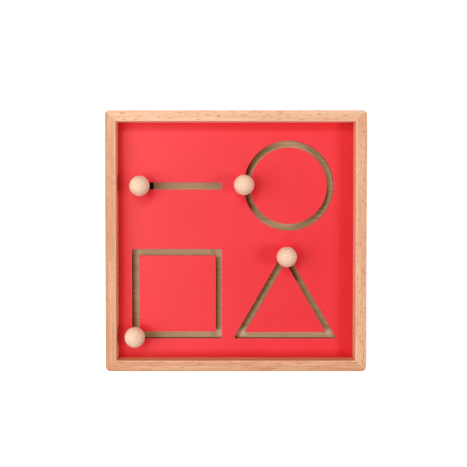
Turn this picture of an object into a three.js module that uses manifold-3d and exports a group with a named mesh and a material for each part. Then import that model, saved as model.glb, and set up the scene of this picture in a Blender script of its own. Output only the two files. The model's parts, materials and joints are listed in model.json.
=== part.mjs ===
// A shape-tracing board: a mitred beech frame round a red panel with four grooves, which are a straight
// line, a circle, a square and a triangle. A wooden ball knob is held captive in each groove by a foot
// that runs in a wider channel under the panel.
// Millimetres, +Z up. The origin is on the underside, at the centre of the frame.
import * as THREE from 'three';
import { mergeVertices } from 'three/addons/utils/BufferGeometryUtils.js';
import Module from 'manifold-3d';

// ---- Driving dimensions ----

const SIDE = 300; // outside of the frame
const RAIL_WIDTH = 12.6;
const RAIL_HEIGHT = 30;
const CORNER_RADIUS = 5.2; // outer upright corners of the frame
const EDGE_ROUND = 1; // round-over along the rails' top edges
const MITRE_GAP = 0.1; // glue line between two rails

const BASE_THICK = 3; // plywood underneath
const TRACK_THICK = 5; // sheet that holds the feet's channels
const PANEL_THICK = 5; // red panel and red islands
const PANEL_LAP = 3; // how far the panel runs into the rails
const BASE_LAP = 9; // how far the base board runs into the rails
const FIT = 0.2; // play round a board in its rabbet

const GROOVE_CORNER = 1.7; // radius left by the cutter in a groove's outer corners
const SLOT = { left: -121.1, right: -16.3, centreY: 63.5, width: 8.1 };
const CIRCLE = { x: 61.9, y: 63.8, outer: 52.4, inner: 44.8 };
const SQUARE = { x: -68.7, y: -62.7, outer: 52.4, inner: 44.8 }; // half sides
const TRIANGLE = { x: 57.8, y: -80.4, outer: 34.8, inner: 27.3 }; // radii of the inscribed circles
const SQUARE_ISLAND_OFFSET = [0.7, 0.3]; // the islands are glued a little off centre
const TRIANGLE_ISLAND_OFFSET = [0.6, -0.2];

const BALL_RADIUS = 11.6;
const BALL_RISE = 14.3; // ball's centre above the panel
const BALL_FLAT = 11.2; // flat under the ball, measured from its centre
const SLEEVE_RADIUS = 2.3;
const FOOT_THICK = 2.4;
const FOOT_LIFT = 0.3; // running gap under a foot
const CLOSED_FOOT_RADIUS = 7; // feet of the circle, square and triangle
const LINE_FOOT_RADIUS = 14; // the line's foot is larger
const CHANNEL_PLAY = 0.9; // play between a foot and its channel's wall
const FOOT_CHAMFER = { bottom: 0.5, top: 0.9 };
const LINE_KNOB_X = -110.6; // where the line's knob rests
const KNOB_LEAN = THREE.MathUtils.degToRad(9.5); // the circle's knob leans outwards in its groove
// Where three of the knobs rest, from the middle of the circle's left side, the square's near left corner
// and the triangle's apex. The circle's leaning sleeve just clears the outer wall.
const CIRCLE_KNOB_SHIFT = [-0.1, 0.8];
const SQUARE_KNOB_SHIFT = [0.9, 0.3];
const TRIANGLE_KNOB_SHIFT = [0.9, 0];
const PIECE_GAP = 0.1; // gap between the stacked pieces of a knob

const KNOB_SCREW = { head: 2.4, cone: 1.1, shank: 1.25, length: 20 };
const BASE_SCREW = { head: 2.4, cone: 1.3, shank: 1.25, length: 11.5 };
const RECESS = { length: 1.1, width: 0.26, depth: 0.8 }; // cross, as shares of head radius and cone
const SCREW_PLAY = 0.25; // bore radius less shank radius
const BASE_SCREW_INSET = 6.4; // from the centre line of the screws to a rail's outer face
const BASE_SCREW_SPACING = 190; // between the two screws of one rail

const ROUND_STEPS = 24; // flats round a small turned piece
const CIRCLE_STEPS = 96; // flats round the circular groove
const OVERCUT = 1; // how far a cutter runs past what it cuts
const HAIR = 0.01; // keeps two arcs that meet from sharing a point

// ---- Sizes that follow ----

const HALF = SIDE / 2;
const INNER = HALF - RAIL_WIDTH; // inner face of the rails
const TRACK_TOP = BASE_THICK + TRACK_THICK;
const PANEL_TOP = TRACK_TOP + PANEL_THICK;
const PANEL_HALF = INNER + PANEL_LAP;
const BASE_HALF = INNER + BASE_LAP;
const SCREW_LINE = HALF - BASE_SCREW_INSET;
const CHANNEL_HALF = CLOSED_FOOT_RADIUS + CHANNEL_PLAY;

const FOOT_Z = BASE_THICK + FOOT_LIFT + FOOT_THICK / 2; // middle of an upright knob's foot
const BALL_Z = PANEL_TOP + BALL_RISE - FOOT_Z; // ball's centre above the middle of its foot
const SLEEVE_BORE = KNOB_SCREW.shank + SCREW_PLAY;

// ---- Materials ----

const paint = (color, roughness, metalness = 0) => {
  return new THREE.MeshStandardMaterial({ color, roughness, metalness });
};
const beech = paint(0xeebf97, 0.55);
const beechBall = paint(0xf7d1ab, 0.45);
const redPanel = paint(0xe8414a, 0.5);
const plywood = paint(0x9c7550, 0.7);
const blackPlastic = paint(0x1b1a1c, 0.45);
const palePlastic = paint(0xd8d2c6, 0.5);
const steel = paint(0xb4b6b8, 0.35, 1);

// ---- Solids ----

const wasm = await Module();
wasm.setup();

// A closed geometry as a solid that can be cut.
function solid(geometry) {
  const bare = geometry.clone();
  bare.deleteAttribute('normal');
  bare.deleteAttribute('uv');
  const merged = mergeVertices(bare, 1e-4);
  const index = merged.index.array;
  const triangles = [];
  for (let i = 0; i < index.length; i += 3) {
    const [a, b, c] = index.slice(i, i + 3);
    if (a !== b && b !== c && c !== a) triangles.push(a, b, c);
  }
  return new wasm.Manifold(new wasm.Mesh({
    numProp: 3,
    vertProperties: merged.attributes.position.array,
    triVerts: Uint32Array.from(triangles),
  }));
}

// The geometry of a solid, ready for a mesh.
function geometryOf(body) {
  const { vertProperties, triVerts } = body.getMesh();
  const geometry = new THREE.BufferGeometry();
  geometry.setAttribute('position', new THREE.BufferAttribute(vertProperties, 3));
  geometry.setIndex(new THREE.BufferAttribute(triVerts, 1));
  geometry.computeVertexNormals();
  return geometry;
}

// Turns a profile of [radius, z] points round the Z axis. It runs anticlockwise, from the lower end.
function turned(profile, steps = ROUND_STEPS, start = 0) {
  const points = profile.map(([radius, z]) => new THREE.Vector2(radius, z));
  return new THREE.LatheGeometry(points, steps, start).rotateX(Math.PI / 2);
}

// A flat sheet from z = bottom to z = top, with holes through it. Outlines are lists of Vector2.
function sheet(outline, holes, bottom, top) {
  const shape = new THREE.Shape(outline);
  shape.holes = holes.map((hole) => new THREE.Path(hole));
  const options = { depth: top - bottom, bevelEnabled: false };
  return new THREE.ExtrudeGeometry(shape, options).translate(0, 0, bottom);
}

// ---- Outlines, all anticlockwise ----

function rectangle(left, right, near, far) {
  return [[left, near], [right, near], [right, far], [left, far]].map((p) => new THREE.Vector2(...p));
}

function squareOutline(x, y, half) {
  return rectangle(x - half, x + half, y - half, y + half);
}

function triangleOutline(x, y, inradius) {
  const reach = inradius * Math.sqrt(3);
  return [
    new THREE.Vector2(x, y + 2 * inradius),
    new THREE.Vector2(x - reach, y - inradius),
    new THREE.Vector2(x + reach, y - inradius),
  ];
}

function circleOutline(x, y, radius) {
  return Array.from({ length: CIRCLE_STEPS }, (_, i) => {
    const angle = (2 * Math.PI * i) / CIRCLE_STEPS;
    return new THREE.Vector2(x + radius * Math.cos(angle), y + radius * Math.sin(angle));
  });
}

// The same outline with each corner replaced by an arc.
function rounded(corners, radius, steps = 6) {
  return corners.flatMap((corner, i) => {
    const before = corners.at(i - 1).clone().sub(corner).normalize();
    const after = corners[(i + 1) % corners.length].clone().sub(corner).normalize();
    const halfAngle = Math.acos(before.dot(after)) / 2;
    const inwards = before.clone().add(after).normalize();
    const centre = corner.clone().addScaledVector(inwards, radius / Math.sin(halfAngle));
    const from = Math.atan2(-before.y, -before.x) - Math.PI / 2;
    const turn = Math.PI - 2 * halfAngle;
    return Array.from({ length: steps + 1 }, (_, k) => {
      const angle = from + (turn * k) / steps;
      return new THREE.Vector2(Math.cos(angle), Math.sin(angle)).multiplyScalar(radius).add(centre);
    });
  });
}

// ---- Screws ----

// Profile of a countersunk screw, its head's flat face at z = 0 and its point up.
function screwProfile({ head, cone, shank, length }) {
  return [[0, 0], [head, 0], [shank, cone], [shank, length - shank], [0, length]];
}

function screwGeometry(size) {
  const armLength = size.head * RECESS.length;
  const armWidth = size.head * RECESS.width;
  const recessDepth = size.cone * RECESS.depth;
  const arm = (x, y) => solid(new THREE.BoxGeometry(x, y, 2 * recessDepth));
  const recess = arm(armLength, armWidth).add(arm(armWidth, armLength));
  return geometryOf(solid(turned(screwProfile(size), 16)).subtract(recess));
}

// Where the base screws stand: two along each rail.
const screwPlaces = [0, 1, 2, 3].flatMap((side) => [-0.5, 0.5].map((along) => {
  const place = new THREE.Vector2(BASE_SCREW_SPACING * along, -SCREW_LINE);
  return place.rotateAround(new THREE.Vector2(), (side * Math.PI) / 2);
}));

// What a base screw needs: a countersink in the board and a pilot hole in the rail.
function screwHole(place) {
  const { head, cone, shank, length } = BASE_SCREW;
  const slope = (head - shank) / cone;
  const profile = [
    [0, -OVERCUT],
    [head + SCREW_PLAY + slope * OVERCUT, -OVERCUT],
    [shank + SCREW_PLAY, cone],
    [shank + SCREW_PLAY, length + OVERCUT],
    [0, length + OVERCUT],
  ];
  return solid(turned(profile, 16).translate(place.x, place.y, 0));
}

const screwHoles = screwPlaces.map(screwHole).reduce((all, hole) => all.add(hole));

// ---- Frame ----

// The four rails in one mitred square ring, before they are parted.
function frameRing() {
  const round = [0, 1, 2, 3, 4].map((k) => {
    const angle = Math.PI / 2 + (k * Math.PI) / 8;
    return [INNER + EDGE_ROUND * (1 + Math.cos(angle)), RAIL_HEIGHT - EDGE_ROUND * (1 - Math.sin(angle))];
  });
  const profile = [
    [BASE_HALF + FIT, 0],
    [HALF, 0],
    [HALF, RAIL_HEIGHT],
    ...round,
    [INNER, PANEL_TOP],
    [PANEL_HALF + FIT, PANEL_TOP],
    [PANEL_HALF + FIT, BASE_THICK],
    [BASE_HALF + FIT, BASE_THICK],
    [BASE_HALF + FIT, 0],
  ];
  const flatToCorner = profile.map(([reach, z]) => [reach * Math.SQRT2, z]);
  return solid(turned(flatToCorner, 4, Math.PI / 4));
}

// A block with the frame's outer shape: round upright corners and a rounded top edge.
function outerBlock() {
  const inset = squareOutline(0, 0, HALF - EDGE_ROUND);
  const shape = new THREE.Shape(rounded(inset, CORNER_RADIUS - EDGE_ROUND, 8));
  const options = {
    depth: RAIL_HEIGHT,
    bevelSize: EDGE_ROUND,
    bevelThickness: EDGE_ROUND,
    bevelSegments: 4,
  };
  return solid(new THREE.ExtrudeGeometry(shape, options).translate(0, 0, -EDGE_ROUND));
}

// The wedge of space that holds the near rail, between the two diagonals.
function mitreWedge() {
  const reach = HALF + OVERCUT;
  const corners = [[0, -MITRE_GAP], [-reach, -reach - MITRE_GAP], [reach, -reach - MITRE_GAP]];
  const outline = corners.map((p) => new THREE.Vector2(...p));
  return solid(sheet(outline, [], -OVERCUT, RAIL_HEIGHT + OVERCUT));
}

function addRails(board) {
  const blank = frameRing().intersect(outerBlock()).subtract(screwHoles);
  ['rail_near', 'rail_right', 'rail_far', 'rail_left'].forEach((name, side) => {
    const wedge = mitreWedge().rotate([0, 0, 90 * side]);
    board.add(piece(name, geometryOf(blank.intersect(wedge)), beech));
  });
}

// ---- Boards ----

// The outline at half way between a groove's two walls, moved outwards by grow.
const squarePath = (grow) => {
  return squareOutline(SQUARE.x, SQUARE.y, (SQUARE.outer + SQUARE.inner) / 2 + grow);
};
const trianglePath = (grow) => {
  return triangleOutline(TRIANGLE.x, TRIANGLE.y, (TRIANGLE.outer + TRIANGLE.inner) / 2 + grow);
};
const circlePath = (grow) => {
  return circleOutline(CIRCLE.x, CIRCLE.y, (CIRCLE.outer + CIRCLE.inner) / 2 + grow);
};

function addBoards(board) {
  const base = solid(sheet(squareOutline(0, 0, BASE_HALF), [], 0, BASE_THICK));
  board.add(piece('base_board', geometryOf(base.subtract(screwHoles)), plywood));

  const slotEnd = SLOT.width / 2;
  const lineHalf = LINE_FOOT_RADIUS + CHANNEL_PLAY;
  const lineChannel = rectangle(
    SLOT.left + SLEEVE_RADIUS - lineHalf,
    SLOT.right - SLEEVE_RADIUS + lineHalf,
    SLOT.centreY - lineHalf,
    SLOT.centreY + lineHalf,
  );
  const channels = [
    rounded(lineChannel, lineHalf - HAIR, 12),
    circlePath(CHANNEL_HALF),
    rounded(squarePath(CHANNEL_HALF), CHANNEL_HALF, 8),
    rounded(trianglePath(CHANNEL_HALF), CHANNEL_HALF, 12),
  ];
  const whole = squareOutline(0, 0, PANEL_HALF);
  board.add(piece('track_sheet', sheet(whole, channels, BASE_THICK, TRACK_TOP), plywood));

  const slot = rectangle(SLOT.left, SLOT.right, SLOT.centreY - slotEnd, SLOT.centreY + slotEnd);
  const openings = [
    rounded(slot, GROOVE_CORNER),
    circleOutline(CIRCLE.x, CIRCLE.y, CIRCLE.outer),
    rounded(squareOutline(SQUARE.x, SQUARE.y, SQUARE.outer), GROOVE_CORNER),
    rounded(triangleOutline(TRIANGLE.x, TRIANGLE.y, TRIANGLE.outer), GROOVE_CORNER),
  ];
  board.add(piece('red_panel', sheet(whole, openings, TRACK_TOP, PANEL_TOP), redPanel));
}

// Each island closes the middle of a groove, and stands on a block left over from the track sheet.
function addIslands(board) {
  const squareX = SQUARE.x + SQUARE_ISLAND_OFFSET[0];
  const squareY = SQUARE.y + SQUARE_ISLAND_OFFSET[1];
  const triangleX = TRIANGLE.x + TRIANGLE_ISLAND_OFFSET[0];
  const triangleY = TRIANGLE.y + TRIANGLE_ISLAND_OFFSET[1];
  const islands = {
    circle: [circleOutline(CIRCLE.x, CIRCLE.y, CIRCLE.inner), circlePath(-CHANNEL_HALF)],
    square: [squareOutline(squareX, squareY, SQUARE.inner), squarePath(-CHANNEL_HALF)],
    triangle: [triangleOutline(triangleX, triangleY, TRIANGLE.inner), trianglePath(-CHANNEL_HALF)],
  };
  for (const [name, [top, block]] of Object.entries(islands)) {
    board.add(piece(`${name}_island`, sheet(top, [], TRACK_TOP, PANEL_TOP), redPanel));
    board.add(piece(`${name}_island_block`, sheet(block, [], BASE_THICK, TRACK_TOP), plywood));
  }
}

function addBaseScrews(board) {
  screwPlaces.forEach((place, i) => {
    const screw = piece(`base_screw_${i + 1}`, screwGeometry(BASE_SCREW), steel);
    screw.position.set(place.x, place.y, PIECE_GAP);
    board.add(screw);
  });
}

// ---- Knobs: a ball, a sleeve in the groove and a foot under the panel, all held on one screw ----
// Heights here are measured from the middle of the foot.

function ballGeometry() {
  const from = -Math.asin(BALL_FLAT / BALL_RADIUS);
  const steps = 15;
  const surface = Array.from({ length: steps + 1 }, (_, i) => {
    const angle = from + ((Math.PI / 2 - from) * i) / steps;
    return [BALL_RADIUS * Math.cos(angle), BALL_Z + BALL_RADIUS * Math.sin(angle)];
  });
  surface.at(-1)[0] = 0;
  const boreTop = KNOB_SCREW.length;
  const bore = [[0, boreTop], [SLEEVE_BORE, boreTop], [SLEEVE_BORE, BALL_Z - BALL_FLAT]];
  return turned([...bore, ...surface]);
}

function sleeveGeometry() {
  const bottom = FOOT_THICK / 2 + PIECE_GAP;
  const top = BALL_Z - BALL_FLAT - PIECE_GAP;
  return turned([
    [SLEEVE_BORE, bottom],
    [SLEEVE_RADIUS, bottom],
    [SLEEVE_RADIUS, top],
    [SLEEVE_BORE, top],
    [SLEEVE_BORE, bottom],
  ]);
}

function footGeometry(radius) {
  const half = FOOT_THICK / 2;
  const sinkRadius = KNOB_SCREW.head + SCREW_PLAY;
  return turned([
    [sinkRadius, -half],
    [radius - FOOT_CHAMFER.bottom, -half],
    [radius, FOOT_CHAMFER.bottom - half],
    [radius, half - FOOT_CHAMFER.top],
    [radius - FOOT_CHAMFER.top, half],
    [SLEEVE_BORE, half],
    [SLEEVE_BORE, KNOB_SCREW.cone - half],
    [sinkRadius, -half],
  ], 32);
}

function addKnob(board, name, x, y, footRadius, lean = 0) {
  const knob = new THREE.Group();
  const screw = piece(`${name}_knob_screw`, screwGeometry(KNOB_SCREW), steel);
  screw.position.z = PIECE_GAP - FOOT_THICK / 2;
  knob.add(piece(`${name}_ball_knob`, ballGeometry(), beechBall));
  knob.add(piece(`${name}_knob_sleeve`, sleeveGeometry(), palePlastic));
  knob.add(piece(`${name}_foot`, footGeometry(footRadius), blackPlastic));
  knob.add(screw);
  const rimRadius = footRadius - FOOT_CHAMFER.bottom;
  const liftedByLean = rimRadius * Math.sin(lean) - (1 - Math.cos(lean)) * (FOOT_THICK / 2);
  knob.position.set(x, y, FOOT_Z + liftedByLean);
  knob.rotation.y = -lean;
  board.add(knob);
}

function addKnobs(board) {
  const corner = squarePath(0)[0];
  const cornerX = corner.x + SQUARE_KNOB_SHIFT[0];
  const cornerY = corner.y + SQUARE_KNOB_SHIFT[1];
  const apex = trianglePath(0)[0];
  const apexX = apex.x + TRIANGLE_KNOB_SHIFT[0];
  const apexY = apex.y + TRIANGLE_KNOB_SHIFT[1];
  const leaningX = CIRCLE.x - (CIRCLE.outer + CIRCLE.inner) / 2 + CIRCLE_KNOB_SHIFT[0];
  const leaningY = CIRCLE.y + CIRCLE_KNOB_SHIFT[1];
  addKnob(board, 'line', LINE_KNOB_X, SLOT.centreY, LINE_FOOT_RADIUS);
  addKnob(board, 'circle', leaningX, leaningY, CLOSED_FOOT_RADIUS, KNOB_LEAN);
  addKnob(board, 'square', cornerX, cornerY, CLOSED_FOOT_RADIUS);
  addKnob(board, 'triangle', apexX, apexY, CLOSED_FOOT_RADIUS);
}

// ---- Assembly ----

function piece(name, geometry, material) {
  const mesh = new THREE.Mesh(geometry, material);
  mesh.name = name;
  return mesh;
}

const board = new THREE.Group();
addRails(board);
addBoards(board);
addIslands(board);
addBaseScrews(board);
addKnobs(board);

export default board;
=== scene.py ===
"""Shape-tracing board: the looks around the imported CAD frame. Metres, +Z up."""
import json
import math

import bmesh
import bpy
from mathutils import Matrix, Vector


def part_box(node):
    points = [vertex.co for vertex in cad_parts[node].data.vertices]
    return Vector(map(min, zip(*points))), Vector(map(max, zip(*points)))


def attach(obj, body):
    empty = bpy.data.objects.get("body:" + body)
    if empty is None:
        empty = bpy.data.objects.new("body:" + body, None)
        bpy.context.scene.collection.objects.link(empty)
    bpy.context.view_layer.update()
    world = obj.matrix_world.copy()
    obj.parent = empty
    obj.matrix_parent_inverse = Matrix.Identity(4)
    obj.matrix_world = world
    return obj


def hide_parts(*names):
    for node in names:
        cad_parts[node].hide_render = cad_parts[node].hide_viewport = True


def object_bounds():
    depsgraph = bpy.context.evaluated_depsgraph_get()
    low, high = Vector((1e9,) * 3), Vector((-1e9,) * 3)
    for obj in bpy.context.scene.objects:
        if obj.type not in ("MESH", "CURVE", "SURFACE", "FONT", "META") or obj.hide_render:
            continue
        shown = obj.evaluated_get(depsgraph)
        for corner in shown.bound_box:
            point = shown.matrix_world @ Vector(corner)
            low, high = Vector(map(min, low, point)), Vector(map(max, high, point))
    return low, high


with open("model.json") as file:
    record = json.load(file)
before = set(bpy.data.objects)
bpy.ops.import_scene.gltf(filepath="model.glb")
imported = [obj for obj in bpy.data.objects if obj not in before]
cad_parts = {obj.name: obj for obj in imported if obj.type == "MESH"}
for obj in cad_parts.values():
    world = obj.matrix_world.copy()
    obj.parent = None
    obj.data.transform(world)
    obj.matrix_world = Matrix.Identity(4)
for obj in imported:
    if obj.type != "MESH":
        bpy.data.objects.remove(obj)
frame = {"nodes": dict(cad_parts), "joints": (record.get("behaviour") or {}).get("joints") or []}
CAD_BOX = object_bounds()

# ---------------------------------------------------------------- sizes, in metres

MM = 0.001
SLIDERS = ("line", "circle", "square", "triangle")

# From the frame
HALF = CAD_BOX[1].x                                            # half the frame's side
RAIL_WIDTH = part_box("rail_near")[1].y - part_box("rail_near")[0].y
INNER = HALF - RAIL_WIDTH                                      # inner face of the rails

# What the CAD boxes don't give, as in the part's own source
CORNER_RADIUS = 5.2 * MM      # outer upright corners of the frame
EDGE_ROUND = 1.0 * MM         # top inner edges of the rails
MITRE_GAP = 0.1 * MM
RABBET_FIT = 0.2 * MM         # play round a board in its rabbet
GROOVE_CORNER = 1.7 * MM
OPENING_REACH = 52.4 * MM     # circle's radius and square's half side
TRIANGLE_REACH = 34.8 * MM    # radius of the triangle's inscribed circle
SLOT_LEFT, SLOT_RIGHT, SLOT_WIDTH = -121.1 * MM, -16.3 * MM, 8.1 * MM
BALL_RADIUS = 11.6 * MM
BALL_FLAT = 11.2 * MM         # flat under the ball, measured from its centre
BORE_ROOF = 2.8 * MM          # end of the screw's bore, measured from the ball's centre
SLEEVE_RADIUS = 2.3 * MM
SLEEVE_BORE = 1.5 * MM
SINK_RADIUS = 2.65 * MM       # countersink under a foot
FOOT_THICK = 2.4 * MM
PIECE_GAP = 0.1 * MM          # between the stacked pieces of a knob

# Finer edges than the CAD has
OUTER_ROUND = 1.6 * MM        # top outer edges of the rails
FOOT_EDGE = 0.5 * MM          # bottom outer edge of the rails
MITRE_V = 0.32 * MM           # tiny bevel where two rails meet
HOLD = 0.15 * MM              # flat beside each round-over, so that the wide faces shade flat
PANEL_EASE = 0.50 * MM        # round-over along the edges of the red sheet
EASE_RUN = 0.12 * MM          # flat beside that round-over
ISLAND_CORNER = 0.3 * MM
SOFT_EDGE = 0.25 * MM         # edges of a ball's bore and of a sleeve
LONGEST_STEP = 6.0 * MM       # between two points of a sheet's outline

# How finely round things are cut
CIRCLE_STEPS = 160
KNOB_STEPS = 72
SLEEVE_STEPS = 40


# ---------------------------------------------------------------- node trees

class Paint:
    """A material whose node tree is built by short calls. Most calls return an output socket."""

    def __init__(self, name):
        self.material = bpy.data.materials.new(name)
        self.material.use_nodes = True
        tree = self.material.node_tree
        self.nodes, self.links = tree.nodes, tree.links
        self.shader = self.nodes["Principled BSDF"]

    def feed(self, socket, value):
        if isinstance(value, bpy.types.NodeSocket):
            self.links.new(value, socket)
        else:
            socket.default_value = value

    def add(self, kind, inputs, **settings):
        node = self.nodes.new(kind)
        for key, value in settings.items():
            setattr(node, key, value)
        for key, value in inputs.items():
            self.feed(node.inputs[key], value)
        return node

    def place(self, offset=(0, 0, 0), turn=(0, 0, 0), scale=(1, 1, 1)):
        """The object's own coordinates, moved by -offset, turned and then scaled."""
        where = self.add("ShaderNodeTexCoord", {}).outputs["Object"]
        if any(offset):
            where = self.vector("SUBTRACT", where, offset)
        if any(turn):
            where = self.add("ShaderNodeVectorRotate", {"Vector": where, "Rotation": turn},
                             rotation_type="EULER_XYZ").outputs[0]
        return self.vector("MULTIPLY", where, scale)

    def noise(self, where, scale=1.0, detail=2.0, roughness=0.5, distortion=0.0):
        return self.add("ShaderNodeTexNoise", {
            "Vector": where, "Scale": scale, "Detail": detail,
            "Roughness": roughness, "Distortion": distortion}).outputs["Fac"]

    def cells(self, where, scale=1.0):
        """(distance to the nearest cell centre, a random number for that cell)"""
        node = self.add("ShaderNodeTexVoronoi", {"Vector": where, "Scale": scale})
        pick = self.add("ShaderNodeSeparateColor", {"Color": node.outputs["Color"]})
        return node.outputs["Distance"], pick.outputs[0]

    def math(self, operation, a, b=0.0):
        return self.add("ShaderNodeMath", {0: a, 1: b}, operation=operation).outputs[0]

    def vector(self, operation, a, b):
        return self.add("ShaderNodeVectorMath", {0: a, 1: b}, operation=operation).outputs[0]

    def distance(self, where, point):
        node = self.add("ShaderNodeVectorMath", {0: where, 1: point}, operation="DISTANCE")
        return node.outputs["Value"]

    def span(self, value, low, high, to_low=0.0, to_high=1.0):
        """value from low..high mapped smoothly to to_low..to_high."""
        return self.add("ShaderNodeMapRange", {
            "Value": value, "From Min": low, "From Max": high,
            "To Min": to_low, "To Max": to_high}, interpolation_type="SMOOTHSTEP").outputs[0]

    def mix(self, share, a, b):
        node = self.add("ShaderNodeMix", {}, data_type="RGBA")
        self.feed(node.inputs[0], share)
        self.feed(node.inputs[6], a)
        self.feed(node.inputs[7], b)
        return node.outputs[2]

    def axis(self, where, index):
        return self.add("ShaderNodeSeparateXYZ", {"Vector": where}).outputs[index]

    def bump(self, height, depth, strength):
        node = self.add("ShaderNodeBump", {"Height": height, "Distance": depth,
                                           "Strength": strength})
        self.feed(self.shader.inputs["Normal"], node.outputs[0])

    def finish(self, color, roughness, **sockets):
        self.feed(self.shader.inputs["Base Color"], color)
        self.feed(self.shader.inputs["Roughness"], roughness)
        for name, value in sockets.items():
            self.feed(self.shader.inputs[name.replace("_", " ")], value)
        return self.material


def rgb(red, green, blue):
    """A colour as seen on a screen, 0 to 255, as the linear value that a shader takes."""
    def linear(level):
        level /= 255
        return level / 12.92 if level <= 0.04045 else ((level + 0.055) / 1.055) ** 2.4
    return (linear(red), linear(green), linear(blue), 1.0)


# ---------------------------------------------------------------- materials
# A place's scale is in features per metre along X, Y and Z.

def beech_rail(name, look):
    """Lacquered beech, its grain along the rail. look says how this rail was cut, how dark it is and how
    much light and shade is painted on its edges and inner face.
    """
    paint = Paint(name)
    turn, offset = (0, 0, look["turn"]), look["offset"]
    side = paint.math("ABSOLUTE", paint.axis(paint.place(), 0 if look["turn"] else 1))
    wander = paint.noise(paint.place(offset, turn, (28, 60, 60)), detail=1)
    bend = paint.math("MULTIPLY", paint.math("SUBTRACT", wander, 0.5), look["wave"])
    line, mark = rgb(*look["line"]), rgb(*look["mark"])

    def grain(along, across):
        """Coordinates stretched along the rail, with the lines bent sideways."""
        where = paint.place(offset, turn, (along, across, across))
        aside = paint.add("ShaderNodeCombineXYZ", {"Y": paint.math("MULTIPLY", bend, across)})
        return paint.vector("ADD", where, aside.outputs[0])

    fibre = paint.noise(grain(90, 1900), detail=4, roughness=0.62)
    streak = paint.noise(grain(26, 620), detail=3, roughness=0.6)
    band = paint.noise(grain(7, 120), detail=2)
    distance, lot = paint.cells(grain(*look["fleck_grid"]))
    fleck = paint.math("MULTIPLY", paint.span(distance, 0.36, 0.12), paint.span(lot, *look["fleck_lot"]))
    distance, lot = paint.cells(grain(*look["pore_grid"]))
    pore = paint.math("MULTIPLY", paint.span(distance, 0.42, 0.15), paint.span(lot, 0.35, 0.75))
    distance, lot = paint.cells(grain(75, 330))
    blush = paint.math("MULTIPLY", paint.span(distance, 0.42, 0.05), paint.span(lot, 0.86, 0.93))
    color = paint.mix(paint.span(band, 0.35, 0.65), rgb(*look["light"]), rgb(*look["dark"]))
    color = paint.mix(paint.span(streak, 0.42, 0.72, 0.0, look["streak"]), color, line)
    color = paint.mix(paint.span(fibre, 0.35, 0.8, 0.0, 0.30), color, line)
    color = paint.mix(paint.math("MULTIPLY", blush, 0.6), color, rgb(205, 118, 76))
    color = paint.mix(paint.math("MULTIPLY", pore, look["pore"]), color, mark)
    color = paint.mix(paint.math("MULTIPLY", fleck, look["fleck"]), color, mark)
    # from the outer face inwards: painted shade towards the outer edge, a painted highlight along the inner
    # edge and painted light and shade on the inner face
    # painted shade: darker towards the outer edge, where the rounded edge gets less light
    shade = paint.span(side, (INNER + HALF) / 2, HALF, 0.0, look["painted_outer_shade"])
    color = paint.mix(shade, color, mark)
    # painted highlight: a lighter line along the inner top edge
    inner_highlight = paint.span(side, INNER + 1.5 * MM, INNER + 0.7 * MM, 0.0, look["edge"])
    color = paint.mix(inner_highlight, color, rgb(*look["inner_highlight"]))
    # painted light and shade on the inner face: lighter on the far rail, darker on the others
    wall = paint.span(side, INNER + 0.35 * MM, INNER + 0.10 * MM, 0.0, look["wall"])
    color = paint.mix(wall, color, rgb(*look["wall_tone"]))
    dents = paint.math("MAXIMUM", fleck, paint.math("MULTIPLY", pore, 0.6))
    paint.bump(paint.math("SUBTRACT", fibre, dents), 0.06 * MM, 0.5)
    return paint.finish(color, paint.span(fibre, 0.2, 0.8, 0.42, 0.58))


# How each rail looks. The grids are cells per metre along and across the grain.
RAIL_LOOKS = {
    "rail_near": {
        "turn": 0.0, "offset": (0.13, 0.71, 0.0), "wave": 0.0095,
        "light": (240, 184, 146), "dark": (224, 160, 121), "line": (196, 126, 84),
        "mark": (178, 100, 64), "inner_highlight": (255, 205, 165), "streak": 0.85,
        "fleck_grid": (90, 520), "fleck_lot": (0.35, 0.50), "fleck": 0.60,
        "pore_grid": (330, 1500), "pore": 0.22, "painted_outer_shade": 0.28, "edge": 0.5,
        "wall": 0.42, "wall_tone": (178, 100, 64)},
    "rail_right": {
        "turn": math.pi / 2, "offset": (0.41, 0.33, 0.1), "wave": 0.0070,
        "light": (246, 194, 158), "dark": (234, 174, 136), "line": (208, 140, 100),
        "mark": (180, 104, 66), "inner_highlight": (255, 214, 176), "streak": 0.45,
        "fleck_grid": (140, 640), "fleck_lot": (0.15, 0.30), "fleck": 0.90,
        "pore_grid": (420, 1700), "pore": 0.25, "painted_outer_shade": 0.10, "edge": 0.4,
        "wall": 0.25, "wall_tone": (166, 100, 66)},
    "rail_far": {
        "turn": 0.0, "offset": (0.77, 0.05, 0.2), "wave": 0.0030,
        "light": (250, 204, 169), "dark": (240, 185, 148), "line": (228, 160, 120),
        "mark": (196, 102, 64), "inner_highlight": (255, 222, 186), "streak": 0.50,
        "fleck_grid": (95, 560), "fleck_lot": (0.30, 0.45), "fleck": 0.80,
        "pore_grid": (330, 1500), "pore": 0.20, "painted_outer_shade": 0.04, "edge": 0.5,
        "wall": 0.55, "wall_tone": (255, 226, 200)},
    "rail_left": {
        "turn": math.pi / 2, "offset": (0.19, 0.92, 0.3), "wave": 0.0045,
        "light": (235, 180, 143), "dark": (222, 159, 121), "line": (198, 130, 90),
        "mark": (176, 104, 70), "inner_highlight": (252, 202, 163), "streak": 0.45,
        "fleck_grid": (190, 700), "fleck_lot": (0.25, 0.40), "fleck": 0.70,
        "pore_grid": (520, 1900), "pore": 0.22, "painted_outer_shade": 0.26, "edge": 0.6,
        "wall": 0.05, "wall_tone": (176, 104, 70)},
}


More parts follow.
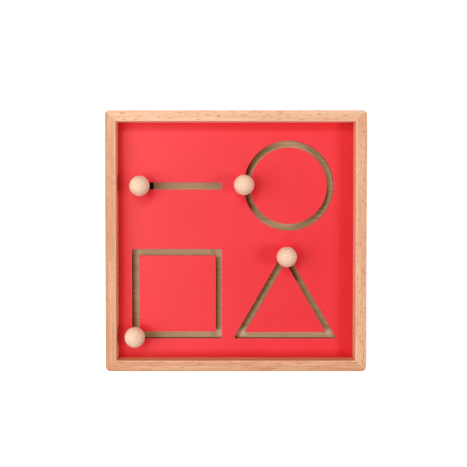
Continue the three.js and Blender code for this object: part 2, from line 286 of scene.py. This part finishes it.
def beech_ball(name, centre, turn, pith):
    """Turned beech: growth rings round a far-off pith cut by the ball, with fine pores."""
    paint = Paint(name)
    local = paint.place(centre, turn)
    ring = paint.add("ShaderNodeTexWave", {
        "Vector": paint.vector("SUBTRACT", local, pith), "Scale": 118.0, "Distortion": 2.0,
        "Detail": 2.0, "Detail Scale": 1.2, "Detail Roughness": 0.55},
        wave_type="RINGS", rings_direction="Z", wave_profile="SAW").outputs["Fac"]
    fibre = paint.noise(paint.place(centre, turn, (1400, 1400, 160)), detail=3, roughness=0.6)
    distance, lot = paint.cells(paint.place(centre, turn, (620, 620, 190)))
    fleck = paint.math("MULTIPLY", paint.span(distance, 0.30, 0.10), paint.span(lot, 0.62, 0.8))
    cloud = paint.noise(local, 90.0, 2.0)
    color = paint.mix(paint.span(ring, 0.2, 0.95, 0.0, 0.55), rgb(251, 216, 188), rgb(236, 189, 156))
    color = paint.mix(paint.span(fibre, 0.35, 0.75, 0.0, 0.35), color, rgb(228, 180, 142))
    color = paint.mix(paint.span(cloud, 0.45, 0.75, 0.0, 0.30), color, rgb(240, 190, 158))
    color = paint.mix(paint.math("MULTIPLY", fleck, 0.5), color, rgb(176, 116, 80))
    paint.bump(paint.math("ADD", fibre, paint.math("MULTIPLY", ring, 0.3)), 0.04 * MM, 0.5)
    return paint.finish(color, paint.span(fibre, 0.2, 0.8, 0.54, 0.68),
                        Sheen_Weight=0.85, Sheen_Roughness=0.40, Sheen_Tint=(1.0, 0.84, 0.76, 1.0))


def red_lacquer(name, panel_top):
    """Satin red lacquer with a fine orange peel, dust specks and pale nicks along its cut edges, with a
    painted highlight on those edges and painted shade near the rails.
    """
    paint = Paint(name)
    here = paint.place()
    cloud = paint.noise(here, 14.0, 3.0)
    grain = paint.noise(here, 1700.0, 2.0, 0.7)
    peel = paint.noise(here, 620.0, 1.0)
    distance, lot = paint.cells(here, 62.0)
    dust = paint.math("MULTIPLY", paint.span(distance, 0.030, 0.014), paint.span(lot, 0.50, 0.55))
    # the rounded edge lies just under the top face, so height alone finds it
    below = paint.math("SUBTRACT", panel_top, paint.axis(here, 2))
    edge = paint.span(below, 0.03 * MM, 0.12 * MM)
    chip = paint.math("MULTIPLY", edge, paint.span(paint.noise(here, 330.0, 3.0), 0.60, 0.66))
    # painted highlight: a pink line along the rounded edges, just under the top face
    painted_edge_highlight = paint.math("MULTIPLY", edge, paint.span(below, 0.9 * MM, 0.5 * MM))
    # glue and dust in the joint along the left rail
    across = paint.axis(here, 0)
    by_wall = paint.span(across, 0.9 * MM - INNER, 0.5 * MM - INNER)
    glue = paint.math("MULTIPLY", by_wall, paint.span(paint.noise(here, 620.0, 4.0), 0.54, 0.62))
    # painted shade: a deeper red close to the left, right and near rails, where their shadow falls on the
    # sheet, less of it on the left
    aside = paint.math("MAXIMUM", across, paint.math("SUBTRACT", -4 * MM, across))
    reach = paint.math("MAXIMUM", aside, paint.math("MULTIPLY", paint.axis(here, 1), -1.0))
    deep = paint.span(reach, INNER - 13 * MM, INNER + 2 * MM, 0.0, 0.5)
    color = paint.mix(paint.span(cloud, 0.3, 0.7), rgb(243, 42, 50), rgb(239, 38, 46))
    color = paint.mix(paint.span(grain, 0.35, 0.75, 0.0, 0.12), color, rgb(214, 36, 44))
    # painted shade beside the rails
    color = paint.mix(deep, color, rgb(190, 22, 34))
    color = paint.mix(paint.math("MULTIPLY", dust, 0.55), color, rgb(255, 170, 160))
    # the painted highlight on the rounded edges
    color = paint.mix(paint.math("MULTIPLY", painted_edge_highlight, 0.55), color, rgb(252, 112, 136))
    color = paint.mix(paint.math("MULTIPLY", chip, 0.75), color, rgb(236, 190, 176))
    color = paint.mix(paint.math("MULTIPLY", glue, 0.7), color, rgb(226, 186, 172))
    paint.bump(peel, 0.03 * MM, 0.35)
    return paint.finish(color, paint.span(peel, 0.2, 0.8, 0.50, 0.60), Specular_IOR_Level=0.80)


def fibreboard(name):
    """The sawn core of the red sheet: fine pressed fibres, darker where the cutter burnished it. Its browns
    are partly its own colour and partly painted shade for the shadowed faces in the grooves.
    """
    paint = Paint(name)
    fibre = paint.noise(paint.place(scale=(900, 900, 1800)), detail=4, roughness=0.7)
    burn = paint.noise(paint.place(scale=(60, 60, 160)), detail=2)
    dull = paint.noise(paint.place(), 500.0)
    # partly the core's own brown, partly painted shade: kept dark for the shadowed groove faces
    color = paint.mix(paint.span(fibre, 0.3, 0.7), rgb(106, 82, 54), rgb(80, 61, 39))
    color = paint.mix(paint.span(burn, 0.45, 0.7, 0.0, 0.5), color, rgb(70, 53, 34))
    paint.bump(fibre, 0.08 * MM, 0.6)
    return paint.finish(color, paint.span(dull, 0.3, 0.7, 0.72, 0.88))


def plywood(name, spots):
    """Bare plywood, its face grain along X, with painted light: pale pools on the floor at the spots where
    the grooves turn a corner and more light reaches it.
    """
    paint = Paint(name)
    here = paint.place()
    fibre = paint.noise(paint.place(scale=(35, 1100, 400)), detail=5, roughness=0.65)
    band = paint.noise(paint.place(scale=(5, 320, 90)), detail=3, distortion=0.6)
    distance, lot = paint.cells(paint.place(scale=(120, 1100, 400)))
    pore = paint.math("MULTIPLY", paint.span(distance, 0.30, 0.10), paint.span(lot, 0.55, 0.75))
    corner_light = 0.0
    for spot in spots:
        near = paint.span(paint.distance(here, spot), 7.0 * MM, 0.0)
        corner_light = paint.math("MAXIMUM", corner_light, near)
    color = paint.mix(paint.span(band, 0.3, 0.7), rgb(238, 196, 151), rgb(219, 172, 130))
    color = paint.mix(paint.span(fibre, 0.35, 0.75, 0.0, 0.36), color, rgb(174, 124, 82))
    color = paint.mix(paint.math("MULTIPLY", pore, 0.35), color, rgb(140, 98, 62))
    # painted light: pale pools on the groove floor at its corners
    color = paint.mix(paint.math("MULTIPLY", corner_light, 0.55), color, rgb(255, 218, 184))
    paint.bump(fibre, 0.08 * MM, 0.5)
    return paint.finish(color, paint.span(fibre, 0.2, 0.8, 0.62, 0.78))


def plastic(name, shade, deep, gloss):
    """Moulded plastic with fine scuffs from sliding."""
    paint = Paint(name)
    scuff = paint.noise(paint.place(scale=(260, 2400, 900)), detail=3, roughness=0.7)
    cloud = paint.noise(paint.place(), 240.0, 2.0)
    color = paint.mix(paint.span(cloud, 0.3, 0.7), rgb(*shade), rgb(*deep))
    paint.bump(scuff, 0.02 * MM, 0.4)
    return paint.finish(color, paint.span(scuff, 0.3, 0.7, gloss, gloss + 0.16))


def zinc(name):
    """Zinc-plated steel with turning marks and dull patches."""
    paint = Paint(name)
    patch = paint.noise(paint.place(), 420.0, 3.0)
    mark = paint.noise(paint.place(scale=(3200, 500, 900)), detail=2)
    color = paint.mix(paint.span(patch, 0.3, 0.7), rgb(208, 208, 206), rgb(176, 178, 182))
    paint.bump(mark, 0.01 * MM, 0.4)
    return paint.finish(color, paint.span(patch, 0.3, 0.7, 0.26, 0.44), Metallic=1.0)


# ---------------------------------------------------------------- meshes

def mesh_object(name, build, materials, smooth_below=35.0):
    """An object from a function that fills a bmesh. Edges sharper than the angle, in degrees, stay sharp."""
    bm = bmesh.new()
    build(bm)
    bmesh.ops.recalc_face_normals(bm, faces=bm.faces)
    data = bpy.data.meshes.new(name)
    bm.to_mesh(data)
    bm.free()
    for material in materials:
        data.materials.append(material)
    data.set_sharp_from_angle(angle=math.radians(smooth_below))
    obj = bpy.data.objects.new(name, data)
    bpy.context.scene.collection.objects.link(obj)
    return obj


def skin(bm, rings, closed, material=0):
    """Smooth faces between neighbouring rings of vertices. closed joins the last ring to the first."""
    count = len(rings)
    for i in range(count if closed else count - 1):
        a, b = rings[i], rings[(i + 1) % count]
        for k in range(len(a)):
            n = (k + 1) % len(a)
            corners = []
            for vert in (a[k], a[n], b[n], b[k]):
                if vert not in corners:
                    corners.append(vert)
            if len(corners) > 2:
                face = bm.faces.new(corners)
                face.smooth = True
                face.material_index = material


def turned(name, profile, axis_at, materials, steps, tilt=0.0):
    """A turned piece. The profile is (radius, height) above axis_at, and closes on the axis or on itself."""
    place = Matrix.Translation(axis_at) @ Matrix.Rotation(tilt, 4, "Y")
    on_axis = 1e-7

    def build(bm):
        rings = []
        for radius, height in profile:
            if radius < on_axis:
                rings.append([bm.verts.new(place @ Vector((0, 0, height)))] * steps)
                continue
            angles = (2 * math.pi * k / steps for k in range(steps))
            rings.append([
                bm.verts.new(place @ Vector((radius * math.cos(a), radius * math.sin(a), height)))
                for a in angles])
        skin(bm, rings, closed=profile[0][0] > on_axis)

    return mesh_object(name, build, materials)


def arc(centre, radius, start, end, steps):
    """Points on an arc, angles in degrees."""
    angles = [math.radians(start + (end - start) * k / steps) for k in range(steps + 1)]
    return [(centre[0] + radius * math.cos(a), centre[1] + radius * math.sin(a)) for a in angles]


def rounded(corners, radius, steps=8):
    """A closed outline, anticlockwise, with each corner replaced by an arc."""
    outline = []
    for i, corner in enumerate(corners):
        here = Vector(corner)
        before = (Vector(corners[i - 1]) - here).normalized()
        after = (Vector(corners[(i + 1) % len(corners)]) - here).normalized()
        half = before.angle(after) / 2
        centre = here + (before + after).normalized() * (radius / math.sin(half))
        start = math.degrees(math.atan2(-before.y, -before.x)) - 90
        outline += arc(centre, radius, start, start + 180 - 2 * math.degrees(half), steps)
    return outline


def rectangle(left, right, near, far):
    return [(left, near), (right, near), (right, far), (left, far)]


def triangle(x, y, inradius):
    reach = inradius * math.sqrt(3)
    return [(x, y + 2 * inradius), (x - reach, y - inradius), (x + reach, y - inradius)]


def circle(x, y, radius):
    return arc((x, y), radius, 0, 360, CIRCLE_STEPS)[:-1]


def subdivided(outline):
    """The outline with its long stretches cut into even steps."""
    points = []
    for i, point in enumerate(outline):
        a, b = Vector(point), Vector(outline[(i + 1) % len(outline)])
        parts = max(1, math.ceil((b - a).length / LONGEST_STEP))
        points += [tuple(a.lerp(b, k / parts)) for k in range(parts)]
    return points


def moved_out(outline, distance):
    """The outline grown by distance along its own normals, corners kept sharp."""
    points = []
    for i, point in enumerate(outline):
        here = Vector(point)
        back = (here - Vector(outline[i - 1])).normalized()
        ahead = (Vector(outline[(i + 1) % len(outline)]) - here).normalized()
        normal = Vector((back.y + ahead.y, -back.x - ahead.x)).normalized()
        lean = max(0.3, normal.dot(Vector((ahead.y, -ahead.x))))
        points.append(tuple(here + normal * (distance / lean)))
    return points


def sheet(name, outline, holes, bottom, top, materials):
    """A flat sheet with rounded top edges. materials are the face's and the cut edges'."""
    # (how far in from the edge, height) from the bottom edge up to the flat face
    section = [(0.0, bottom), (0.0, top - PANEL_EASE)]
    section += arc((PANEL_EASE, top - PANEL_EASE), PANEL_EASE, 180, 90, 4)[1:]
    section += [(PANEL_EASE + EASE_RUN, top)]

    def build(bm):
        edges = {"bottom": [], "top": []}
        for line, sign in [(outline, -1)] + [(hole, 1) for hole in holes]:
            rings = []
            for inset, z in section:
                grown = moved_out(line, sign * inset) if inset else line
                rings.append([bm.verts.new((x, y, z)) for x, y in grown])
            skin(bm, rings[:2], closed=False, material=1)
            skin(bm, rings[1:], closed=False)
            for key, ring in (("bottom", rings[0]), ("top", rings[-1])):
                for k, vert in enumerate(ring):
                    edges[key].append(bm.edges.get((vert, ring[(k + 1) % len(ring)])))
        for key, material in (("bottom", 1), ("top", 0)):
            made = bmesh.ops.triangle_fill(bm, use_beauty=True, edges=edges[key])
            for face in made["geom"]:
                if isinstance(face, bmesh.types.BMFace):
                    face.material_index = material
                    face.smooth = False

    return mesh_object(name, build, materials)


# ---------------------------------------------------------------- frame rails

def rail_section(top):
    """A rail's outline as (depth in from the outer face, height), from the base board's rabbet round."""
    panel_high, board_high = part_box("red_panel")[1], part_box("base_board")[1]
    lip = HALF - panel_high.x - RABBET_FIT
    step = HALF - board_high.x - RABBET_FIT
    section = [(step, 0.0)]
    section += arc((FOOT_EDGE, FOOT_EDGE), FOOT_EDGE, 270, 180, 3)
    section += [(0.0, FOOT_EDGE + HOLD), (0.0, top - OUTER_ROUND - HOLD)]
    section += arc((OUTER_ROUND, top - OUTER_ROUND), OUTER_ROUND, 180, 90, 7)
    section += [(OUTER_ROUND + HOLD, top), (RAIL_WIDTH - EDGE_ROUND - HOLD, top)]
    section += arc((RAIL_WIDTH - EDGE_ROUND, top - EDGE_ROUND), EDGE_ROUND, 90, 0, 6)
    section += [(RAIL_WIDTH, top - EDGE_ROUND - HOLD), (RAIL_WIDTH, panel_high.z)]
    return section + [(lip, panel_high.z), (lip, board_high.z), (step, board_high.z)]


def rail(name, side, material):
    """A mitred rail: its section swept along the rail and round half of each corner."""
    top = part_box("rail_near")[1].z
    section = rail_section(top)
    corner = HALF - CORNER_RADIUS
    straight_steps, bend_steps = 24, 10
    before_mitre = 0.995          # last station before the mitre's bevel
    lead = 1.0 * MM               # straight stretch before a square corner

    def at(depth, z, share, turn, inset):
        """A section point: share of the straight part, then turn of the corner's half arc."""
        depth = min(max(depth, inset), RAIL_WIDTH - inset)
        z = min(z, top - inset)
        if depth < CORNER_RADIUS:
            radius, angle = CORNER_RADIUS - depth, math.radians(45 * turn)
            along = corner * share + radius * math.sin(angle)
            return along, corner + radius * math.cos(angle), z
        end = HALF - depth
        start = min(corner, end) - lead
        return start * share + (end - start) * turn, end, z

    def build(bm):
        stations = [(k / straight_steps, 0.0, 0.0) for k in range(straight_steps + 1)]
        stations += [(1.0, k / bend_steps, 0.0) for k in range(1, bend_steps)]
        stations += [(1.0, before_mitre, 0.0), (1.0, 1.0, MITRE_V)]
        path = [(-1, *s) for s in reversed(stations)] + [(1, *s) for s in stations[1:]]
        turn_side = Matrix.Rotation(math.pi / 2 * side, 4, "Z")
        rings = []
        for sign, share, turn, inset in path:
            ring = []
            for depth, z in section:
                along, out, height = at(depth, z, share, turn, inset)
                along -= MITRE_GAP * (turn == 1.0)
                ring.append(bm.verts.new(turn_side @ Vector((sign * along, -out, height))))
            rings.append(ring)
        skin(bm, rings, closed=False)
        for ring in (rings[0], rings[-1]):
            bm.faces.new(ring)

    return mesh_object(name, build, [material], smooth_below=32.0)


def make_frame():
    for side, (node, look) in enumerate(RAIL_LOOKS.items()):
        piece = rail("beech_" + node, side, beech_rail("beech_" + node, look))
        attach(piece, "tray")
        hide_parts(node)


# ---------------------------------------------------------------- red sheet and islands

def middle(node):
    low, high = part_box(node)
    return (low + high) / 2


def square_outline(node):
    low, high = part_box(node)
    return rectangle(low.x, high.x, low.y, high.y)


def triangle_place(node):
    """x, y and radius of the circle inscribed in a triangular node."""
    low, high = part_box(node)
    inradius = (high.y - low.y) / 3
    return (low.x + high.x) / 2, low.y + inradius, inradius


def groove_openings():
    """The four openings of the red sheet: slot, circle, square and triangle."""
    slot_y = middle("line_foot").y
    ring, block = middle("circle_island"), middle("square_island_block")
    three_x, three_y, _ = triangle_place("triangle_island_block")
    slot = rectangle(SLOT_LEFT, SLOT_RIGHT, slot_y - SLOT_WIDTH / 2, slot_y + SLOT_WIDTH / 2)
    square = rectangle(block.x - OPENING_REACH, block.x + OPENING_REACH,
                       block.y - OPENING_REACH, block.y + OPENING_REACH)
    return [
        rounded(slot, GROOVE_CORNER),
        circle(ring.x, ring.y, OPENING_REACH),
        rounded(square, GROOVE_CORNER),
        rounded(triangle(three_x, three_y, TRIANGLE_REACH), GROOVE_CORNER),
    ]


def make_panel():
    red = red_lacquer("red_lacquer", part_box("red_panel")[1].z)
    core = fibreboard("fibreboard")
    ring = middle("circle_island")
    ring_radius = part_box("circle_island")[1].x - ring.x
    three = triangle(*triangle_place("triangle_island"))
    pieces = {
        "red_panel": (square_outline("red_panel"), groove_openings()),
        "circle_island": (circle(ring.x, ring.y, ring_radius), []),
        "square_island": (rounded(square_outline("square_island"), ISLAND_CORNER, 4), []),
        "triangle_island": (rounded(three, ISLAND_CORNER, 4), []),
    }
    for node, (outline, holes) in pieces.items():
        low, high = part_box(node)
        holes = [subdivided(hole) for hole in holes]
        piece = sheet("lacquered_" + node, subdivided(outline), holes, low.z, high.z, [red, core])
        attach(piece, "tray")
        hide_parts(node)


# ---------------------------------------------------------------- knobs

# The grain's direction in each ball, and where the tree's pith lay beside it, in metres
BALL_GRAIN = {
    "line": {"turn": (1.40, 0.80, 0.0), "pith": (0.022, 0.018, 0)},
    "circle": {"turn": (1.25, -0.1, 0.0), "pith": (0.016, 0.014, 0)},
    "square": {"turn": (1.35, 0.42, 0.0), "pith": (-0.030, 0.018, 0)},
    "triangle": {"turn": (1.50, -1.48, 0.0), "pith": (0.045, 0.012, 0)},
}


# The three profiles are (radius, height above the middle of the foot). rise is the ball's centre.

def ball_profile(rise):
    """From the roof of the screw's bore, down it, across the flat and up round the ball."""
    start = -math.degrees(math.asin(BALL_FLAT / BALL_RADIUS))
    flat = rise - BALL_FLAT
    profile = [(0.0, rise - BORE_ROOF), (SLEEVE_BORE, rise - BORE_ROOF)]
    profile += [(SLEEVE_BORE, flat + SOFT_EDGE), (SLEEVE_BORE + SOFT_EDGE, flat)]
    profile += arc((0, rise), BALL_RADIUS, start, 90, 44)[:-1]
    return profile + [(0.0, rise + BALL_RADIUS)]


def sleeve_profile(rise):
    bottom, top = FOOT_THICK / 2 + PIECE_GAP, rise - BALL_FLAT - PIECE_GAP
    return [(SLEEVE_BORE, bottom), (SLEEVE_RADIUS - SOFT_EDGE, bottom), (SLEEVE_RADIUS, bottom + SOFT_EDGE),
            (SLEEVE_RADIUS, top - SOFT_EDGE), (SLEEVE_RADIUS - SOFT_EDGE, top), (SLEEVE_BORE, top)]


def foot_profile(radius):
    """A moulded disc with a soft rim and a shallow ring groove inside it."""
    half, chamfer, rim = FOOT_THICK / 2, 0.5 * MM, 0.9 * MM
    groove_out, groove_in, slope, depth = 1.6 * MM, 2.6 * MM, 0.2 * MM, 0.3 * MM
    profile = [(SINK_RADIUS, -half), (radius - chamfer, -half), (radius, chamfer - half)]
    profile += arc((radius - rim, half - rim), rim, 0, 90, 6)
    profile += [(radius - groove_out, half), (radius - groove_out - slope, half - depth)]
    profile += [(radius - groove_in + slope, half - depth), (radius - groove_in, half)]
    return profile + [(SLEEVE_BORE, half), (SLEEVE_BORE, 0.0)]


def make_knobs():
    black = plastic("black_plastic", (26, 26, 28), (16, 16, 18), 0.30)
    pale = plastic("pale_plastic", (222, 216, 204), (206, 198, 184), 0.38)
    steel = zinc("zinc_steel")
    joints = {joint["name"]: joint for joint in frame["joints"]}
    for name in SLIDERS:
        spin = joints[name + "_spin"]
        axis, foot_at = Vector(spin["axis"]), Vector(spin["pos_m"])
        tilt = math.atan2(axis.x, axis.z)
        # the ball's centre is one radius below its top, straight up the knob's axis from the foot
        rise = (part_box(name + "_ball_knob")[1].z - BALL_RADIUS - foot_at.z) / math.cos(tilt)
        foot_low, foot_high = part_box(name + "_foot")
        foot_radius = (foot_high.y - foot_low.y) / 2
        grain = BALL_GRAIN[name]
        wood = beech_ball("beech_ball_" + name, foot_at + axis * rise, grain["turn"], grain["pith"])
        ball = turned("turned_" + name + "_ball_knob", ball_profile(rise), foot_at, [wood], KNOB_STEPS, tilt)
        sleeve = turned(name + "_sleeve_tube", sleeve_profile(rise), foot_at, [pale], SLEEVE_STEPS, tilt)
        foot = turned(name + "_foot_disc", foot_profile(foot_radius), foot_at, [black], KNOB_STEPS, tilt)
        for piece, body, node, slot in (
                (ball, "_knob", "_ball_knob", "beech_ball"),
                (sleeve, "_knob", "_knob_sleeve", "pale_plastic"),
                (foot, "_glide", "_foot", "black_plastic")):
            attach(piece, name + body)
            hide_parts(name + node)
        paint_node(name + "_knob_screw", steel)


# ---------------------------------------------------------------- carried-over CAD pieces

def paint_node(node, material):
    obj = frame["nodes"][node]
    obj.data.materials.clear()
    obj.data.materials.append(material)
    for polygon in obj.data.polygons:
        polygon.use_smooth = True
    obj.data.set_sharp_from_angle(angle=math.radians(35))


def lit_corner_spots():
    """The middle of each corner of the square and the triangle groove, on the base board, where the floor
    gets painted light.
    """
    corners = moved_out(square_outline("square_island"), 3.0 * MM)
    corners += moved_out(triangle(*triangle_place("triangle_island")), 2.2 * MM)
    return [(x, y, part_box("base_board")[1].z) for x, y in corners]


def make_boards():
    wood = plywood("plywood", lit_corner_spots())
    for node in ["base_board", "track_sheet"] + [name + "_island_block" for name in SLIDERS[1:]]:
        paint_node(node, wood)
    steel = zinc("zinc_base_screws")
    for node in frame["nodes"]:
        if node.startswith("base_screw"):
            paint_node(node, steel)


# ---------------------------------------------------------------- camera and studio

# Straight above the board, a little left of and beyond its centre
CAMERA_AT = (-13.7 * MM, 56.1 * MM, 841.0 * MM)
CAMERA_TILT = math.radians(-1.244)
CAMERA_SHIFT = (0.0205, -0.0552)
SENSOR_WIDTH, LENS = 36.0, 54.64      # millimetres

# name: place and size in metres, power in watts
LIGHTS = {
    "far_light": ((-0.30, 0.85, 1.20), (0.5, 0.36), 5.55),
    "near_light": ((-0.05, -0.78, 1.25), (0.5, 0.42), 1.5),
    "left_light": ((-1.00, 0.0, 1.10), (1.2, 1.2), 14.9),
    "right_light": ((1.05, -0.12, 0.85), (0.36, 0.36), 5.0),
}
SKY_STRENGTH = 0.20
FLOOR_GLOW = 0.5
FLOOR_REACH = 30.0
FLOOR_DROP = 0.2 * MM

# The toe of the picture's tone curve, which deepens only the darkest tones: scene light, shown level
TONE_TOE = [(0.02, 0.009), (0.05, 0.030), (0.08, 0.071), (0.14, 0.138), (0.25, 0.25)]


def camera():
    data = bpy.data.cameras.new("camera")
    data.sensor_width = SENSOR_WIDTH
    data.lens = LENS
    data.shift_x, data.shift_y = CAMERA_SHIFT
    data.clip_start = 0.05
    data.clip_end = 20.0
    obj = bpy.data.objects.new("camera", data)
    bpy.context.scene.collection.objects.link(obj)
    obj.location = CAMERA_AT
    obj.rotation_euler = (CAMERA_TILT, 0.0, 0.0)
    bpy.context.scene.camera = obj


def softbox(name, place, size, watts):
    """A rectangular area light that faces the board's centre."""
    data = bpy.data.lights.new(name, "AREA")
    data.shape = "RECTANGLE"
    data.size, data.size_y = size
    data.energy = watts
    obj = bpy.data.objects.new(name, data)
    bpy.context.scene.collection.objects.link(obj)
    obj.location = place
    obj.rotation_euler = (-Vector(place)).to_track_quat("-Z", "Y").to_euler()


def floor():
    paint = Paint("pale_floor")
    mottle = paint.noise(paint.place(), 6.0, 3.0)
    color = paint.mix(paint.span(mottle, 0.3, 0.7), (0.90, 0.90, 0.90, 1), (0.88, 0.88, 0.885, 1))
    paint.finish(color, 0.9, Emission_Color=(1, 1, 1, 1), Emission_Strength=FLOOR_GLOW)

    def build(bm):
        corners = rectangle(-FLOOR_REACH, FLOOR_REACH, -FLOOR_REACH, FLOOR_REACH)
        bm.faces.new([bm.verts.new((x, y, -FLOOR_DROP)) for x, y in corners])

    mesh_object("pale_floor", build, [paint.material])


def studio():
    world = bpy.data.worlds.new("studio")
    world.use_nodes = True
    background = world.node_tree.nodes["Background"]
    background.inputs["Color"].default_value = (1.0, 1.0, 1.0, 1.0)
    background.inputs["Strength"].default_value = SKY_STRENGTH
    bpy.context.scene.world = world
    for name, (place, size, watts) in LIGHTS.items():
        softbox(name, place, size, watts)
    settings = bpy.context.scene.view_settings
    settings.view_transform = "Standard"
    settings.look = "None"
    settings.use_curve_mapping = True
    all_channels = settings.curve_mapping.curves[3]
    for light, level in TONE_TOE:
        all_channels.points.new(light, level)
    settings.curve_mapping.update()


camera()
studio()
floor()
make_frame()
make_panel()
make_boards()
make_knobs()
